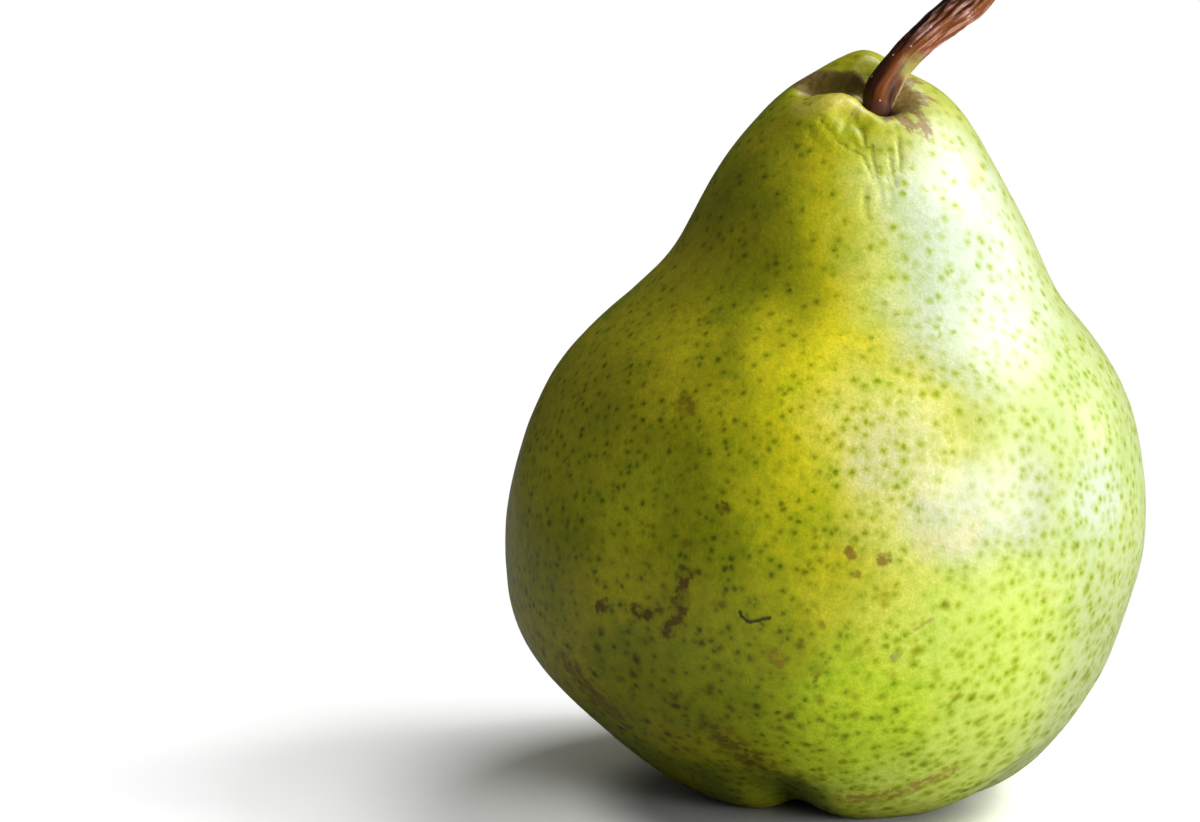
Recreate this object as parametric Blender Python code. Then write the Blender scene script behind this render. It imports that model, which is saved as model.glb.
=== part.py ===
"""A standing pear, in its three natural pieces: the fruit, its woody stem and its dried calyx.

Metres, +Z up. The pear stands on the lobes of its base at Z 0, with its front towards -Y. Its neck
leans towards +X, and so does the stem. Run it with blender --background --python part.py.
"""

import math

import bmesh
import bpy
import numpy as np
from mathutils import Vector

MM = 0.001

# The fruit. Lengths in this file are in millimetres, and MM turns them into metres.
# The side outline: (distance out from the core, height), from the floor of the calyx basin, out
# over the resting rim, up the belly and the neck, and in to the middle of the crown.
OUTLINE = (
    (0.0, 8.2),
    (3.6, 7.9),
    (6.4, 6.2),
    (8.8, 3.3),
    (11.4, 0.6),
    (15.4, -0.8),
    (20.2, 0.8),
    (25.4, 4.5),
    (31.4, 10.6),
    (36.8, 18.4),
    (39.5, 27.4),
    (39.9, 35.4),
    (38.5, 43.4),
    (36.0, 50.6),
    (31.6, 57.2),
    (26.6, 62.4),
    (22.8, 67.4),
    (20.0, 72.8),
    (16.8, 78.4),
    (13.5, 83.2),
    (9.9, 86.9),
    (5.2, 89.0),
    (0.0, 89.6),
)
OUTLINE_STEPS = 2  # rings for each span of the outline
RING_POINTS = 60
DEPTH_SHARE = 0.97  # the fruit's depth from front to back, as a share of its width

# How far the core stands towards +X: (height, distance).
LEAN = (
    (-2.0, 0.7),
    (8.0, -0.5),
    (20.0, -2.6),
    (32.0, -1.8),
    (46.0, -1.0),
    (60.0, 0.0),
    (68.0, 1.7),
    (78.0, 1.9),
    (90.0, 3.2),
)

# The furrows between the lobes of the base: (angle from +X in degrees, depth, width in degrees).
FURROWS = (
    (-106.0, 1.9, 13.0),
    (-36.0, 0.8, 13.0),
    (33.0, 1.7, 14.0),
    (104.0, 1.4, 16.0),
    (176.0, 1.6, 14.0),
)
FURROW_TOP = 26.0  # height at which a furrow has run out on the belly
BASIN_FLOOR = 5.0  # distance from the core at which a furrow has run out in the basin
BASIN_LIP = 14.0  # distance from the core at which a furrow is whole
FURROW_PINCH = 0.5  # how far a furrow pulls the skin in, as a share of how far it lifts it

# Swellings and hollows of the crown: (x, y, reach along X, reach along Y, rise).
CROWN_FORMS = (
    (2.4, 4.6, 3.9, 3.2, 2.2),
    (4.6, -4.0, 3.8, 3.6, -3.3),
    (-3.2, 1.4, 4.8, 2.2, -1.8),
    (-2.8, -4.6, 4.0, 2.8, 1.0),
)
CROWN_TILT = 0.2  # rise for each millimetre towards the back
CROWN_START = 70.0  # height at which the crown's tilt and forms begin
CROWN_FULL = 84.0  # height from which they are whole

# The stem: the place of its foot on the crown, and its path from there as (x, y, z, thickness).
# The first point is in the fruit's socket, below the foot.
STEM_FOOT = (4.0, -3.8, 85.0)
STEM_PATH = (
    (-0.5, 1.2, -3.6, 2.8),
    (0.2, 0.0, 0.0, 3.0),
    (0.2, 0.1, 1.9, 4.2),
    (0.5, 0.2, 3.6, 4.5),
    (1.5, 0.4, 5.3, 3.9),
    (3.3, 0.8, 7.2, 3.4),
    (5.5, 1.1, 9.1, 3.5),
    (7.3, 1.4, 10.6, 3.8),
    (9.3, 1.7, 12.1, 4.2),
    (11.1, 2.0, 13.5, 4.3),
    (12.5, 2.2, 15.2, 4.5),
    (13.4, 2.3, 17.2, 4.9),
    (13.9, 2.4, 19.0, 5.5),
)
SOCKET_SPANS = 4  # spans of the path, from its start, that the crown is cut clear of
STEM_STEPS = 3  # rings for each span of the path
STEM_SIDES = 16
STEM_DOME = 0.4  # how far each end of the stem swells out past its last ring
STEM_GAP = 0.3  # clearance between the stem and its socket

# The calyx: five dried sepals on a small woody disc in the floor of the basin.
SEPALS = 5
DISC_RADIUS = 2.2
SEPAL_REACH = 5.4
CALYX_THICKNESS = 0.7
CALYX_GAP = 0.3  # clearance above the calyx, to the floor of the basin
CALYX_POINTS = 60
CALYX_FLOOR_POINTS = 4  # points of the outline that make the floor the calyx lies on
CALYX_SHARES = (0.35, 0.7, 1.0)  # the calyx's rings, as shares of its reach


def smooth_curve(points, steps):
    """A Catmull-Rom curve through the points, with steps samples to a span."""
    ends = [2 * points[0] - points[1], *points, 2 * points[-1] - points[-2]]
    samples = []
    for a, b, c, d in zip(ends, ends[1:], ends[2:], ends[3:]):
        for step in range(steps):
            t = step / steps
            bend = (2 * a - 5 * b + 4 * c - d) * t**2 + (3 * b - a - 3 * c + d) * t**3
            samples.append((2 * b + (c - a) * t + bend) / 2)
    samples.append(points[-1])
    return samples


def reading(table, steps=8):
    """A smooth function read from a table of (place, value) pairs."""
    curve = np.array(smooth_curve([np.array(row) for row in table], steps))
    return lambda place: float(np.interp(place, curve[:, 0], curve[:, 1]))


def fade(value, start, end):
    """0 at start and 1 at end, with a smooth turn between them."""
    t = min(1.0, max(0.0, (value - start) / (end - start)))
    return t * t * (3 - 2 * t)


def furrow(angle):
    """Depth of the furrows between the lobes at this angle."""
    depth = 0.0
    for middle, deepest, width in FURROWS:
        apart = (math.degrees(angle) - middle + 180) % 360 - 180
        depth += deepest * math.exp(-((apart / width) ** 2))
    return depth


def crown_form(x, y):
    """How far the crown's swellings and hollows lift the skin at this place."""
    return sum(
        rise * math.exp(-(((x - at_x) / reach_x) ** 2) - ((y - at_y) / reach_y) ** 2)
        for at_x, at_y, reach_x, reach_y, rise in CROWN_FORMS
    )


def fruit_point(out, height, angle, lean):
    """The skin's point on the outline's ring (out, height) at this angle."""
    cut = furrow(angle) * fade(height, FURROW_TOP, 0.0) * fade(out, BASIN_FLOOR, BASIN_LIP)
    pinched = out - FURROW_PINCH * cut
    x = pinched * math.cos(angle) + lean(height)
    y = pinched * math.sin(angle) * DEPTH_SHARE
    z = max(0.0, height + cut)
    z += fade(height, CROWN_START, CROWN_FULL) * (CROWN_TILT * y + crown_form(x, y))
    return Vector((x, y, z)) * MM


def loft(rings, start, end):
    """A closed bmesh through rings of points, ended by a single point at each end."""
    shape = bmesh.new()
    loops = [[shape.verts.new(point) for point in ring] for ring in rings]
    first, last = shape.verts.new(start), shape.verts.new(end)
    sides = len(rings[0])
    for i in range(sides):
        j = (i + 1) % sides
        shape.faces.new((first, loops[0][j], loops[0][i]))
        shape.faces.new((last, loops[-1][i], loops[-1][j]))
        for below, above in zip(loops, loops[1:]):
            shape.faces.new((below[i], below[j], above[j], above[i]))
    bmesh.ops.recalc_face_normals(shape, faces=shape.faces)
    return shape


def material(name, colour, roughness):
    """A plain Principled material."""
    made = bpy.data.materials.new(name)
    made.use_nodes = True
    shader = made.node_tree.nodes["Principled BSDF"]
    shader.inputs["Base Color"].default_value = (*colour, 1.0)
    shader.inputs["Roughness"].default_value = roughness
    shader.inputs["Metallic"].default_value = 0.0
    return made


def add_object(name, shape, finish=None):
    """Links the bmesh to the scene as a smooth-shaded object."""
    mesh = bpy.data.meshes.new(name)
    shape.to_mesh(mesh)
    shape.free()
    mesh.shade_smooth()
    if finish:
        mesh.materials.append(finish)
    piece = bpy.data.objects.new(name, mesh)
    bpy.context.scene.collection.objects.link(piece)
    return piece


def make_fruit(finish):
    """The fruit: one solid, lobed at its base and hollowed for the calyx and round the stem."""
    lean = reading(LEAN)
    outline = smooth_curve([np.array(point) for point in OUTLINE], OUTLINE_STEPS)
    angles = [2 * math.pi * i / RING_POINTS for i in range(RING_POINTS)]
    rings = [[fruit_point(out, height, a, lean) for a in angles] for out, height in outline[1:-1]]
    start = fruit_point(*outline[0], 0.0, lean)
    end = fruit_point(*outline[-1], 0.0, lean)
    return add_object("fruit", loft(rings, start, end), finish)


def stem_tube(spans, spare):
    """A tube along the first spans of the stem's path, thicker all round by the spare."""
    path = [np.array(point) for point in STEM_PATH]
    line = smooth_curve(path, STEM_STEPS)[: spans * STEM_STEPS + 1]
    foot = Vector(STEM_FOOT)
    places = [foot + Vector(sample[:3]) for sample in line]
    rings = []
    for i, (place, sample) in enumerate(zip(places, line)):
        along = places[min(i + 1, len(places) - 1)] - places[max(i - 1, 0)]
        across = Vector((0, 1, 0)).cross(along).normalized()
        beside = along.cross(across).normalized()
        radius = sample[3] / 2 + spare
        rings.append([
            (place + across * radius * math.cos(a) + beside * radius * math.sin(a)) * MM
            for a in (2 * math.pi * side / STEM_SIDES for side in range(STEM_SIDES))
        ])
    start = places[0] + (places[0] - places[1]).normalized() * (STEM_DOME + spare)
    end = places[-1] + (places[-1] - places[-2]).normalized() * STEM_DOME
    return loft(rings, start * MM, end * MM)


def cut_socket(fruit):
    """Cuts the socket that holds the stem's foot."""
    cutter = add_object("stem_socket_cutter", stem_tube(SOCKET_SPANS, STEM_GAP))
    cutter.hide_render = True
    cutter.display_type = "WIRE"
    cut = fruit.modifiers.new("stem_socket", "BOOLEAN")
    cut.operation = "DIFFERENCE"
    cut.object = cutter


def make_stem(finish):
    """The woody stem, from its foot in the socket to the flared end it was picked by."""
    return add_object("stem", stem_tube(len(STEM_PATH) - 1, 0.0), finish)


def calyx_reach(angle):
    """How far the calyx reaches out at this angle: the disc, and a pointed sepal on each fifth."""
    point = abs(math.cos(SEPALS * angle / 2)) ** 3
    return DISC_RADIUS + (SEPAL_REACH - DISC_RADIUS) * point


def make_calyx(finish):
    """The dried calyx: a thin five-pointed star that follows the floor of the basin."""
    lean = reading(LEAN)
    floor = reading(OUTLINE[:CALYX_FLOOR_POINTS])
    angles = [2 * math.pi * i / CALYX_POINTS for i in range(CALYX_POINTS)]

    def ring(share, drop):
        points = []
        for angle in angles:
            out = calyx_reach(angle) * share
            height = floor(out) - drop
            x = out * math.cos(angle) + lean(height)
            points.append(Vector((x, out * math.sin(angle), height)) * MM)
        return points

    top, bottom = CALYX_GAP, CALYX_GAP + CALYX_THICKNESS
    rings = [ring(share, top) for share in CALYX_SHARES]
    rings += [ring(share, bottom) for share in reversed(CALYX_SHARES)]
    middle = lean(floor(0.0))
    start = Vector((middle, 0.0, floor(0.0) - top)) * MM
    end = Vector((middle, 0.0, floor(0.0) - bottom)) * MM
    return add_object("calyx", loft(rings, start, end), finish)


def centre_on_origin(pieces):
    """Moves the pieces along the surface, so that the origin is under the middle of their box."""
    bpy.context.view_layer.update()
    graph = bpy.context.evaluated_depsgraph_get()
    corners = [Vector(c) for piece in pieces for c in piece.evaluated_get(graph).bound_box]
    middle_x = (min(c.x for c in corners) + max(c.x for c in corners)) / 2
    middle_y = (min(c.y for c in corners) + max(c.y for c in corners)) / 2
    for piece in bpy.context.scene.objects:
        piece.location = (-middle_x, -middle_y, 0.0)


def main():
    """Builds the pear in an empty scene."""
    for old in list(bpy.data.objects):
        bpy.data.objects.remove(old)
    skin = material("pear_skin", (0.42, 0.48, 0.04), 0.4)
    wood = material("stem_wood", (0.16, 0.055, 0.018), 0.45)
    dried = material("dried_sepal", (0.09, 0.05, 0.025), 0.8)
    fruit = make_fruit(skin)
    cut_socket(fruit)
    centre_on_origin([fruit, make_stem(wood), make_calyx(dried)])


main()
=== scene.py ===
"""A ripe green pear: its fruit, its woody stem and the dried calyx in its base.

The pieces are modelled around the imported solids, in their frame: +Z up, the front towards -Y, and
the neck leaning towards +X. Lengths and places in the classes are in millimetres, and MM turns
them into metres.
"""

from __future__ import annotations

import logging
import math
from collections.abc import Iterator, Mapping, Sequence
from contextlib import contextmanager
from dataclasses import dataclass
from enum import Enum

import bpy
import numpy as np
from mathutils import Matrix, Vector, noise
from mathutils.kdtree import KDTree


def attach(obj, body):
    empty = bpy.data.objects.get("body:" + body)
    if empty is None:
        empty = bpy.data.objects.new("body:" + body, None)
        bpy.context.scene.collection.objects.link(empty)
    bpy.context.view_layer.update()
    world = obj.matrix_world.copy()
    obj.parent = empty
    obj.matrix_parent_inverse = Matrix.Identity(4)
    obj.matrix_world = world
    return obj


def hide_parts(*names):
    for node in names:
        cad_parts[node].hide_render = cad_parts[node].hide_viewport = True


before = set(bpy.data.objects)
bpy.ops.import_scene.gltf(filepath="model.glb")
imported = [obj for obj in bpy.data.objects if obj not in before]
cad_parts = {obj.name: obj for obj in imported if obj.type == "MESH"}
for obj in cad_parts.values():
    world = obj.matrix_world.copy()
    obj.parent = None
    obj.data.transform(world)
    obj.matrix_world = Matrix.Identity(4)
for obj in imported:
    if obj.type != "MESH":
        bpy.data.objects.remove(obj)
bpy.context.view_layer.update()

LOG = logging.getLogger("pear")
MM = 0.001
CURVE_STEPS = 8

Pair = tuple[float, float]
Place = tuple[float, float, float]
Colour = tuple[float, float, float]


# The fine creases of the skin in front of the stem.
CREASES: tuple[tuple[Place, ...], ...] = (
    ((-1.6, -8.5, 84.6), (-0.3, -10.3, 83.3), (0.4, -11.3, 82.3), (1.8, -12.4, 81.3), (3.2, -13.0, 80.7),
     (4.2, -14.9, 78.0)),
    ((1.6, -9.5, 84.7), (0.8, -10.3, 83.7), (1.8, -11.4, 82.7), (2.8, -12.2, 81.7)),
    ((4.3, -12.1, 82.0), (4.3, -13.0, 80.7), (5.1, -15.9, 76.7), (5.0, -17.2, 75.1)),
    ((5.9, -14.6, 78.3), (6.4, -16.8, 75.4)),
    ((7.6, -10.9, 83.0), (7.6, -14.1, 78.7)),
    ((2.4, -8.8, 85.0), (3.3, -10.6, 83.3), (3.5, -12.0, 82.0)),
    ((-3.2, -9.4, 83.4), (-2.0, -11.0, 82.2)),
    ((3.2, -16.2, 76.6), (3.4, -18.0, 73.6)),
    ((6.5, -13.2, 80.4), (6.9, -15.6, 77.2)),
)


# --------------------------------------------------------------------------- modelling by hand


@dataclass(frozen=True)
class Ring:
    """One ring of a body that is raised ring by ring."""

    middle: Place
    radius: float
    tilt: float = 0.0


@dataclass(frozen=True)
class Press:
    """One push of the fingers: the skin along a line moves, and what is round it follows."""

    line: tuple[Place, ...]
    move: Place
    reach: float


def smooth_curve(points: Sequence[Sequence[float]], steps: int) -> np.ndarray:
    """Reads a Catmull-Rom curve through some points.

    Args:
        points: The points, in order.
        steps: The samples for each span.

    Returns:
        The samples, one to a row, ending with the last point.
    """
    rows = [np.array(point, float) for point in points]
    ends = [2 * rows[0] - rows[1], *rows, 2 * rows[-1] - rows[-2]]
    samples = []
    for a, b, c, d in zip(ends, ends[1:], ends[2:], ends[3:]):
        for t in np.arange(steps) / steps:
            bend = (2 * a - 5 * b + 4 * c - d) * t**2 + (3 * b - a - 3 * c + d) * t**3
            samples.append((2 * b + (c - a) * t + bend) / 2)
    samples.append(rows[-1])
    return np.array(samples)


def evenly(curve: np.ndarray, gap: float) -> np.ndarray:
    """Reads a curve again at even distances along it.

    Args:
        curve: The curve's points, one to a row; the first two columns measure the distance.
        gap: The distance wanted.

    Returns:
        The new points, from the curve's first to its last.
    """
    steps = np.linalg.norm(np.diff(curve[:, :2], axis=0), axis=1)
    along = np.concatenate([[0.0], np.cumsum(steps)])
    places = np.linspace(0.0, along[-1], max(2, round(along[-1] / gap)) + 1)
    return np.stack([np.interp(places, along, column) for column in curve.T], axis=1)


def fade(value: np.ndarray | float, start: float, end: float) -> np.ndarray:
    """0 at start and 1 at end, with a smooth turn between them."""
    t = np.clip((np.asarray(value, float) - start) / (end - start), 0.0, 1.0)
    return t * t * (3 - 2 * t)


def work_on(piece: bpy.types.Object) -> None:
    """Makes a piece the only one that operators act on.

    Args:
        piece: The piece.
    """
    bpy.ops.object.select_all(action="DESELECT")
    piece.select_set(True)
    bpy.context.view_layer.objects.active = piece


@contextmanager
def editing(piece: bpy.types.Object) -> Iterator[None]:
    """Opens a piece in edit mode, on its points, for as long as the block runs.

    Args:
        piece: The piece.

    Returns:
        Nothing, while the piece is open.
    """
    work_on(piece)
    bpy.context.tool_settings.mesh_select_mode = (True, False, False)
    bpy.ops.object.mode_set(mode="EDIT")
    try:
        yield
    finally:
        bpy.ops.object.mode_set(mode="OBJECT")


def new_piece(name: str) -> bpy.types.Object:
    """Names the primitive that was just added, and puts its place into its mesh.

    Args:
        name: The name of the object and of its mesh.

    Returns:
        The piece.
    """
    piece = bpy.context.active_object
    work_on(piece)
    bpy.ops.object.transform_apply(location=True, rotation=True, scale=True)
    piece.name = piece.data.name = name
    return piece


def points_of(piece: bpy.types.Object) -> np.ndarray:
    """The places of a piece's points, in millimetres, one to a row.

    Args:
        piece: The piece.

    Returns:
        The places.
    """
    flat = np.empty(len(piece.data.vertices) * 3, np.float32)
    piece.data.vertices.foreach_get("co", flat)
    return flat.reshape(-1, 3).astype(float) / MM


def move_points(piece: bpy.types.Object, points: np.ndarray) -> None:
    """Puts a piece's points at these places, in millimetres."""
    piece.data.vertices.foreach_set("co", (points * MM).astype(np.float32).ravel())
    piece.data.update()


def select_points(piece: bpy.types.Object, chosen: np.ndarray) -> None:
    """Selects the points for which chosen is true, and nothing else; points added since aren't.

    Args:
        piece: The piece.
        chosen: One mark for each point.
    """
    mesh = piece.data
    marks = np.zeros(len(mesh.vertices), bool)
    marks[:len(chosen)] = chosen
    mesh.polygons.foreach_set("select", np.zeros(len(mesh.polygons), bool))
    mesh.edges.foreach_set("select", np.zeros(len(mesh.edges), bool))
    mesh.vertices.foreach_set("select", marks)


def raise_rings(name: str, sides: int, rings: Sequence[Ring], depth: float = 1.0) -> bpy.types.Object:
    """Models a body by raising a circle ring by ring.

    Args:
        name: The piece's name.
        sides: The points of each ring.
        rings: The rings, from the first to the last.
        depth: Each ring's size from front to back, as a share of its width.

    Returns:
        The open body.
    """
    first = rings[0]
    start = Vector(first.middle) * MM
    bpy.ops.object.select_all(action="DESELECT")
    bpy.ops.mesh.primitive_circle_add(vertices=sides, radius=first.radius * MM, location=start)
    piece = new_piece(name)
    with editing(piece):
        bpy.ops.mesh.select_all(action="SELECT")
        bpy.ops.transform.resize(value=(1.0, depth, 1.0), center_override=start)
        for below, ring in zip(rings, rings[1:]):
            middle = Vector(ring.middle) * MM
            step = middle - Vector(below.middle) * MM
            bpy.ops.mesh.extrude_region_move(TRANSFORM_OT_translate={"value": step})
            growth = ring.radius / below.radius
            bpy.ops.transform.resize(value=(growth,) * 3, center_override=middle)
            if ring.tilt != below.tilt:
                # With no window, rotate turns the other way, so the angle's sign is the opposite.
                turn = math.radians(below.tilt - ring.tilt)
                bpy.ops.transform.rotate(value=turn, orient_axis="X", center_override=middle)
    return piece


def close_ring(piece: bpy.types.Object, chosen: np.ndarray, span: int) -> None:
    """Fills an open ring of points with a grid, span faces wide.

    Args:
        piece: The piece.
        chosen: The ring's points.
        span: The grid's width in faces.
    """
    select_points(piece, chosen)
    with editing(piece):
        bpy.ops.mesh.fill_grid(span=span)


def press_all(piece: bpy.types.Object, presses: Sequence[Press]) -> None:
    """Gives a piece some pushes, one after the other.

    Args:
        piece: The piece.
        presses: The pushes.
    """
    for press in presses:
        points = points_of(piece)
        tree = KDTree(len(points))
        for index, point in enumerate(points):
            tree.insert(point, index)
        tree.balance()
        chosen = np.zeros(len(points), bool)
        line = press.line if len(press.line) == 1 else smooth_curve(press.line, CURVE_STEPS)
        for place in line:
            chosen[tree.find(Vector(place))[1]] = True
        select_points(piece, chosen)
        with editing(piece):
            bpy.ops.transform.translate(
                value=Vector(press.move) * MM,
                use_proportional_edit=True,
                proportional_edit_falloff="SMOOTH",
                proportional_size=press.reach * MM,
            )


def refine(piece: bpy.types.Object, levels: int = 1) -> None:
    """Smooths a piece by subdivision.

    Args:
        piece: The piece.
        levels: How often it is subdivided.
    """
    work_on(piece)
    smoother = piece.modifiers.new("smooth", "SUBSURF")
    smoother.levels = smoother.render_levels = levels
    bpy.ops.object.modifier_apply(modifier=smoother.name)


def roughen(piece: bpy.types.Object, size: float, height: float) -> None:
    """Makes a piece's surface uneven.

    Args:
        piece: The piece.
        size: How wide the swellings are.
        height: The height from the lowest to the highest.
    """
    work_on(piece)
    clouds = bpy.data.textures.new("uneven", "CLOUDS")
    clouds.noise_scale = size * MM
    push = piece.modifiers.new("uneven", "DISPLACE")
    push.texture = clouds
    push.texture_coords = "LOCAL"
    push.strength = height * MM
    push.mid_level = 0.5
    bpy.ops.object.modifier_apply(modifier=push.name)


def dress(piece: bpy.types.Object, finish: bpy.types.Material, node: str) -> None:
    """Finishes a piece: outward faces, smooth shading, its material and its place in the frame.

    Args:
        piece: The finished mesh.
        finish: Its material.
        node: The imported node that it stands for.
    """
    with editing(piece):
        bpy.ops.mesh.select_all(action="SELECT")
        bpy.ops.mesh.normals_make_consistent(inside=False)
    piece.data.shade_smooth()
    piece.data.materials.clear()
    piece.data.materials.append(finish)
    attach(piece, "root")
    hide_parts(node)
    LOG.info("%s: %d faces, finish %s", piece.name, len(piece.data.polygons), finish.name)


# --------------------------------------------------------------------------- shader expressions


class Laying(Enum):
    """How one colour is laid on another."""

    COVER = "MIX"
    TINT = "MULTIPLY"


class Signal:
    """A node's output, which sums and products can be written with."""

    def __init__(self, graph: Graph, socket: bpy.types.NodeSocket) -> None:
        """Keeps the graph and the output socket."""
        self.graph = graph
        self.socket = socket

    def other(self, output: str | int) -> Signal:
        """Another output of the same node."""
        return Signal(self.graph, self.socket.node.outputs[output])

    def _sum(self, operation: str, first: Signal | float, second: Signal | float) -> Signal:
        """Adds a Math node for an expression."""
        return self.graph.node("ShaderNodeMath", {"operation": operation}, {0: first, 1: second})

    def __add__(self, other: Signal | float) -> Signal:
        """self + other."""
        return self._sum("ADD", self, other)

    def __radd__(self, other: float) -> Signal:
        """other + self."""
        return self._sum("ADD", other, self)

    def __sub__(self, other: Signal | float) -> Signal:
        """self - other."""
        return self._sum("SUBTRACT", self, other)

    def __rsub__(self, other: float) -> Signal:
        """other - self."""
        return self._sum("SUBTRACT", other, self)

    def __mul__(self, other: Signal | float) -> Signal:
        """self * other."""
        return self._sum("MULTIPLY", self, other)

    def __rmul__(self, other: float) -> Signal:
        """other * self."""
        return self._sum("MULTIPLY", other, self)

    def least(self, other: Signal | float) -> Signal:
        """The smaller of the two."""
        return self._sum("MINIMUM", self, other)

    def most(self, other: Signal | float) -> Signal:
        """The larger of the two."""
        return self._sum("MAXIMUM", self, other)


class Graph:
    """A material's node graph, built from expressions."""

    def __init__(self, name: str) -> None:
        """Starts a material that holds only its shader and its output.

        Args:
            name: The material's name.
        """
        self.material = bpy.data.materials.new(name)
        self.material.use_nodes = True
        self.tree = self.material.node_tree
        self.shader = self.tree.nodes["Principled BSDF"]

    def feed(self, socket: bpy.types.NodeSocket, value: object) -> None:
        """Links a socket to a signal, or sets it to a number, a vector or a colour.

        Args:
            socket: The input socket.
            value: What it gets.
        """
        if isinstance(value, Signal):
            self.tree.links.new(value.socket, socket)
        elif isinstance(value, tuple) and socket.type == "RGBA":
            socket.default_value = (*value[:3], 1.0)
        else:
            socket.default_value = value

    def node(
        self,
        kind: str,
        settings: Mapping[str, object] | None = None,
        sockets: Mapping[str | int, object] | None = None,
        output: str | int = 0,
    ) -> Signal:
        """Adds any node.

        Args:
            kind: The node's type.
            settings: Its settings, which are set first.
            sockets: The values or links of its sockets, by name or number.
            output: The output that is wanted.

        Returns:
            That output.
        """
        made = self.tree.nodes.new(kind)
        for name, value in (settings or {}).items():
            setattr(made, name, value)
        for key, value in (sockets or {}).items():
            self.feed(made.inputs[key], value)
        return Signal(self, made.outputs[output])

    def vector(
        self,
        operation: str,
        first: Signal | Place,
        second: Signal | Place = (0.0, 0.0, 0.0),
        scale: Signal | float = 1.0,
    ) -> Signal:
        """Adds a Vector Math node; a length, distance or dot product comes out as a value.

        Args:
            operation: The node's operation.
            first: The first vector.
            second: The second vector.
            scale: The factor, for SCALE.

        Returns:
            The node's result.
        """
        output = 1 if operation in ("LENGTH", "DISTANCE", "DOT_PRODUCT") else 0
        values = {0: first, 1: second, 3: scale}
        return self.node("ShaderNodeVectorMath", {"operation": operation}, values, output)

    def fade(self, value: Signal, start: float, end: float) -> Signal:
        """0 at start and 1 at end, with a smooth turn between them; start may be the larger.

        Args:
            value: What is faded.
            start: Where the result is 0.
            end: Where the result is 1.

        Returns:
            The mask.
        """
        low, high = min(start, end), max(start, end)
        to_low, to_high = (0.0, 1.0) if start < end else (1.0, 0.0)
        return self.node(
            "ShaderNodeMapRange",
            {"interpolation_type": "SMOOTHSTEP"},
            {"Value": value, "From Min": low, "From Max": high, "To Min": to_low, "To Max": to_high},
        )

    def noise(self, place: Signal, scale: float, detail: float = 2.0, roughness: float = 0.5) -> Signal:
        """Noise from 0 to 1, with scale swellings to a unit."""
        values = {"Vector": place, "Scale": scale, "Detail": detail, "Roughness": roughness}
        return self.node("ShaderNodeTexNoise", None, values)

    def lay(
        self,
        below: Signal | Colour,
        above: Signal | Colour,
        share: Signal | float,
        how: Laying = Laying.COVER,
    ) -> Signal:
        """Lays one colour on another.

        Args:
            below: The colour that is there.
            above: The colour laid on it.
            share: How much of it shows, from 0 to 1.
            how: How it is laid.

        Returns:
            The colour that results.
        """
        settings = {"data_type": "RGBA", "blend_type": how.value, "clamp_factor": True}
        return self.node("ShaderNodeMix", settings, {0: share, 6: below, 7: above}, 2)

    def place(self) -> Signal:
        """The place on the piece, in millimetres."""
        spot = self.node("ShaderNodeTexCoord", output="Object")
        return self.vector("SCALE", spot, scale=1.0 / MM)

    def shaken(self, place: Signal, scale: float, amount: float) -> Signal:
        """A place moved about by noise, so that what is drawn there has uneven edges.

        Args:
            place: The place on the piece.
            scale: The swellings to a unit.
            amount: How far it moves, from end to end.

        Returns:
            The new place.
        """
        cloud = self.node("ShaderNodeTexNoise", None, {"Vector": place, "Scale": scale}, 1)
        centred = self.vector("SUBTRACT", cloud, (0.5, 0.5, 0.5))
        return self.vector("ADD", place, self.vector("SCALE", centred, scale=amount))

    def split(self, place: Signal) -> Signal:
        """The first part of a place; the others are its other outputs."""
        return self.node("ShaderNodeSeparateXYZ", None, {0: place})

    def cells(self, place: Signal, size: float) -> tuple[Signal, Signal]:
        """The distance to the nearest of some scattered middles, in cells, and its own draws."""
        cell = self.node("ShaderNodeTexVoronoi", None, {"Vector": place, "Scale": 1 / size})
        return cell, self.node("ShaderNodeSeparateColor", None, {0: cell.other("Color")})

    def spot(self, place: Signal, middle: Place, inner: float, outer: float) -> Signal:
        """1 within inner of a middle, fading to 0 at outer."""
        return self.fade(self.vector("DISTANCE", place, middle), outer, inner)

    def stroke(self, place: Signal, line: Sequence[Place], inner: float, outer: float) -> Signal:
        """1 within inner of a line, fading to 0 at outer.

        Args:
            place: The place that is asked about.
            line: The line's points.
            inner: Where the fading starts.
            outer: Where it ends.

        Returns:
            The mask.
        """
        nearest: Signal | None = None
        for start, end in zip(line, line[1:]):
            run = Vector(end) - Vector(start)
            offset = self.vector("SUBTRACT", place, start)
            along = self.vector("DOT_PRODUCT", offset, tuple(run / run.length_squared))
            along = along.most(0.0).least(1.0)
            foot = self.vector("SCALE", tuple(run), scale=along)
            away = self.vector("DISTANCE", offset, foot)
            nearest = away if nearest is None else nearest.least(away)
        return self.fade(nearest, outer, inner)

    def bump(self, height: Signal, distance: float) -> Signal:
        """A bumped normal: a height of 1 stands distance proud, in millimetres."""
        return self.node("ShaderNodeBump", None, {"Height": height, "Distance": distance * MM})

    def finish(self, **sockets: object) -> bpy.types.Material:
        """Feeds the shader's sockets, named with underscores for spaces.

        Args:
            sockets: What each socket gets.

        Returns:
            The finished material.
        """
        for name, value in sockets.items():
            self.feed(self.shader.inputs[name.replace("_", " ")], value)
        return self.material


# --------------------------------------------------------------------------- finishes


@dataclass(frozen=True)
class Mark:
    """A patch of another colour along a line of places; broken makes a scar patchy."""

    line: tuple[Place, ...]
    inner: float
    outer: float
    colour: Colour
    share: float
    broken: float = 0.0

    def mask(self, graph: Graph, place: Signal) -> Signal:
        """1 within inner of the line, fading to 0 at outer.

        Args:
            graph: The material's graph.
            place: The place that is asked about.

        Returns:
            The mask.
        """
        if len(self.line) == 1:
            return graph.spot(place, self.line[0], self.inner, self.outer)
        return graph.stroke(place, self.line, self.inner, self.outer)


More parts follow.
